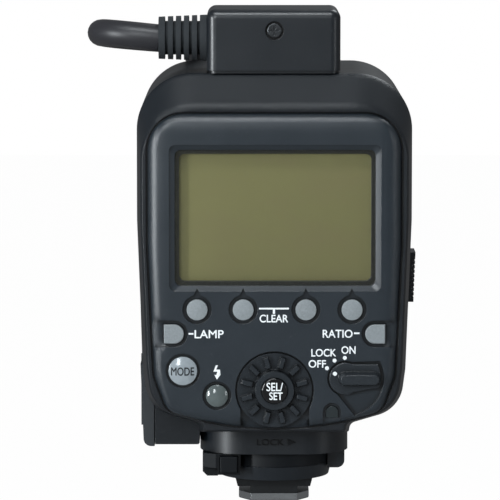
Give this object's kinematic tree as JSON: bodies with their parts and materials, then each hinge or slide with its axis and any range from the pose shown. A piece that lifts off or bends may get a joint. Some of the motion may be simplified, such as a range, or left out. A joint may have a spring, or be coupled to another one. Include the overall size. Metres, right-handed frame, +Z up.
{
  "type": "macro ring flash",
  "caption": "Shoe-mount control unit with display, keys, dial and lock lever, joined by a cord to a ring-shaped twin flash head that clips around a lens.",
  "frame": {"origin": "centre of the bottom face of the shoe plate", "axes": "+Z up, +X to the right when the display is looked at, the display faces -Y and the flash head faces +Y"},
  "size_m": [0.1152, 0.1337, 0.2806],
  "materials": {
    "case_plastic": "fine moulded grain",
    "panel_plastic": "fine moulded grain",
    "black_plastic": "smooth",
    "lever_plastic": "smooth satin",
    "head_plastic": "fine moulded grain",
    "dial_plastic": "smooth satin",
    "grey_button": "smooth satin",
    "mode_gloss": "polished dome",
    "test_gloss": "polished dome",
    "set_gloss": "polished",
    "clear_window": "clear",
    "display_glass": "olive reflective panel",
    "light_guide": "milky",
    "circuit_board": "varnished",
    "dark_steel": "blackened",
    "bright_steel": "turned",
    "switch_metal": "stamped",
    "contact_steel": "plated",
    "shoe_metal": "brushed",
    "gold_contact": "plated",
    "lamp_lens": "smoked",
    "capacitor_can": "sleeved",
    "cover_rubber": "matt",
    "boot_rubber": "matt",
    "cord_jacket": "satin",
    "frosted_window": "prismatic frosted",
    "reflector_metal": "mirror bright",
    "tube_glass": "clear",
    "focus_lens": "clear dome"
  },
  "bodies": {
    "unit": {"base_housing": "case_plastic", "battery_contacts": "contact_steel", "battery_tray": "black_plastic", "board_screws": "dark_steel", "capacitor_cradle": "black_plastic", "confirm_lamp": "lamp_lens", "contact_insert": "black_plastic", "control_board": "circuit_board", "cord": "cord_jacket", "cord_block": "case_plastic", "cord_block_screw": "dark_steel", "cord_boot": "boot_rubber", "door_hinge_pin": "bright_steel", "flash_reflectors": "reflector_metal", "flash_tubes": "tube_glass", "flash_windows": "frosted_window", "focusing_lamps": "focus_lens", "foot_block": "black_plastic", "foot_collar": "case_plastic", "foot_plate": "shoe_metal", "foot_screws": "bright_steel", "front_case": "case_plastic", "head_board": "circuit_board", "head_boot": "boot_rubber", "head_front_cover": "head_plastic", "head_rear_cover": "head_plastic", "head_screws": "dark_steel", "key_switches": "switch_metal", "lcd_backlight": "light_guide", "lcd_display": "display_glass", "lcd_window": "clear_window", "main_capacitor": "capacitor_can", "power_board": "circuit_board", "rear_case": "case_plastic", "rear_panel": "panel_plastic", "rotary_contacts": "black_plastic", "shoe_contacts": "gold_contact", "terminal_block": "black_plastic", "terminal_sockets": "switch_metal"},
    "function_key_1": {"function_button_1": "grey_button"},
    "function_key_2": {"function_button_2": "grey_button"},
    "function_key_3": {"function_button_3": "grey_button"},
    "function_key_4": {"function_button_4": "grey_button"},
    "lamp_key": {"lamp_button": "grey_button"},
    "ratio_key": {"ratio_button": "grey_button"},
    "mode_key": {"mode_button": "mode_gloss"},
    "test_key": {"test_button": "test_gloss"},
    "dial": {"select_dial": "dial_plastic"},
    "set_key": {"set_button": "set_gloss"},
    "power_knob": {"power_switch": "panel_plastic"},
    "door": {"battery_door": "case_plastic"},
    "latch": {"battery_latch": "case_plastic"},
    "terminal_flap": {"terminal_cover": "cover_rubber"},
    "lever": {"lock_lever": "lever_plastic"},
    "release": {"lock_release_button": "lever_plastic"},
    "pin": {"lock_pin": "bright_steel"},
    "head_key_left": {"head_release_left": "lever_plastic"},
    "head_key_right": {"head_release_right": "lever_plastic"},
    "hook_left": {"lens_hook_left": "bright_steel"},
    "hook_right": {"lens_hook_right": "bright_steel"}
  },
  "joints": [
    {"name": "function_press_1", "type": "slide", "parent": "unit", "child": "function_key_1", "axis": [0, 1, 0], "range_m": [0, 0.0006], "stiffness_N_per_m": 1500, "springref_m": -0.0001},
    {"name": "function_press_2", "type": "slide", "parent": "unit", "child": "function_key_2", "axis": [0, 1, 0], "range_m": [0, 0.0006], "stiffness_N_per_m": 1500, "springref_m": -0.0001},
    {"name": "function_press_3", "type": "slide", "parent": "unit", "child": "function_key_3", "axis": [0, 1, 0], "range_m": [0, 0.0006], "stiffness_N_per_m": 1500, "springref_m": -0.0001},
    {"name": "function_press_4", "type": "slide", "parent": "unit", "child": "function_key_4", "axis": [0, 1, 0], "range_m": [0, 0.0006], "stiffness_N_per_m": 1500, "springref_m": -0.0001},
    {"name": "lamp_press", "type": "slide", "parent": "unit", "child": "lamp_key", "axis": [0, 1, 0], "range_m": [0, 0.0006], "stiffness_N_per_m": 1500, "springref_m": -0.0001},
    {"name": "ratio_press", "type": "slide", "parent": "unit", "child": "ratio_key", "axis": [0, 1, 0], "range_m": [0, 0.0006], "stiffness_N_per_m": 1500, "springref_m": -0.0001},
    {"name": "mode_press", "type": "slide", "parent": "unit", "child": "mode_key", "axis": [0, 1, 0], "range_m": [0, 0.0006], "stiffness_N_per_m": 1500, "springref_m": -0.0001},
    {"name": "test_press", "type": "slide", "parent": "unit", "child": "test_key", "axis": [0, 1, 0], "range_m": [0, 0.0006], "stiffness_N_per_m": 1500, "springref_m": -0.0001},
    {"name": "set_press", "type": "slide", "parent": "unit", "child": "set_key", "axis": [0, 1, 0], "range_m": [0, 0.0006], "stiffness_N_per_m": 1500, "springref_m": -0.0001},
    {"name": "dial_turn", "type": "hinge", "parent": "unit", "child": "dial", "pos_m": [0, -0.029, 0.0325], "axis": [0, 1, 0], "continuous": true},
    {"name": "power_turn", "type": "hinge", "parent": "unit", "child": "power_knob", "pos_m": [0.0183, -0.03, 0.0356], "axis": [0, 1, 0], "range_deg": [0, 56]},
    {"name": "door_swing", "type": "hinge", "parent": "unit", "child": "door", "pos_m": [0.0329, 0.0165, 0.042], "axis": [0, 1, 0], "range_deg": [0, 100]},
    {"name": "latch_slide", "type": "slide", "parent": "door", "child": "latch", "axis": [0, 1, 0], "range_m": [0, 0.0024]},
    {"name": "terminal_swing", "type": "hinge", "parent": "unit", "child": "terminal_flap", "pos_m": [-0.0349, 0.007, 0.0275], "axis": [0, 0, -1], "range_deg": [0, 95]},
    {"name": "lever_turn", "type": "hinge", "parent": "unit", "child": "lever", "pos_m": [0, 0, 0.0118], "axis": [0, 0, 1], "range_deg": [0, 60]},
    {"name": "release_press", "type": "slide", "parent": "lever", "child": "release", "axis": [0, 1, 0], "range_m": [0, 0.001], "stiffness_N_per_m": 800, "springref_m": -0.0001},
    {"name": "pin_drop", "type": "slide", "parent": "unit", "child": "pin", "axis": [0, 0, -1], "range_m": [0, 0.00165]},
    {"name": "head_press_left", "type": "slide", "parent": "unit", "child": "head_key_left", "axis": [1, 0, 0], "range_m": [0, 0.0015], "stiffness_N_per_m": 600, "springref_m": -0.0001},
    {"name": "head_press_right", "type": "slide", "parent": "unit", "child": "head_key_right", "axis": [-1, 0, 0], "range_m": [0, 0.0015], "stiffness_N_per_m": 600, "springref_m": -0.0001},
    {"name": "hook_out_left", "type": "slide", "parent": "unit", "child": "hook_left", "axis": [-1, 0, 0], "range_m": [0, 0.0015]},
    {"name": "hook_out_right", "type": "slide", "parent": "unit", "child": "hook_right", "axis": [1, 0, 0], "range_m": [0, 0.0015]}
  ],
  "couplings": [
    {"joint": "pin_drop", "follows": "lever_turn", "m_per_rad": 0.001528},
    {"joint": "hook_out_left", "follows": "head_press_left", "ratio": 1},
    {"joint": "hook_out_right", "follows": "head_press_right", "ratio": 1}
  ]
}
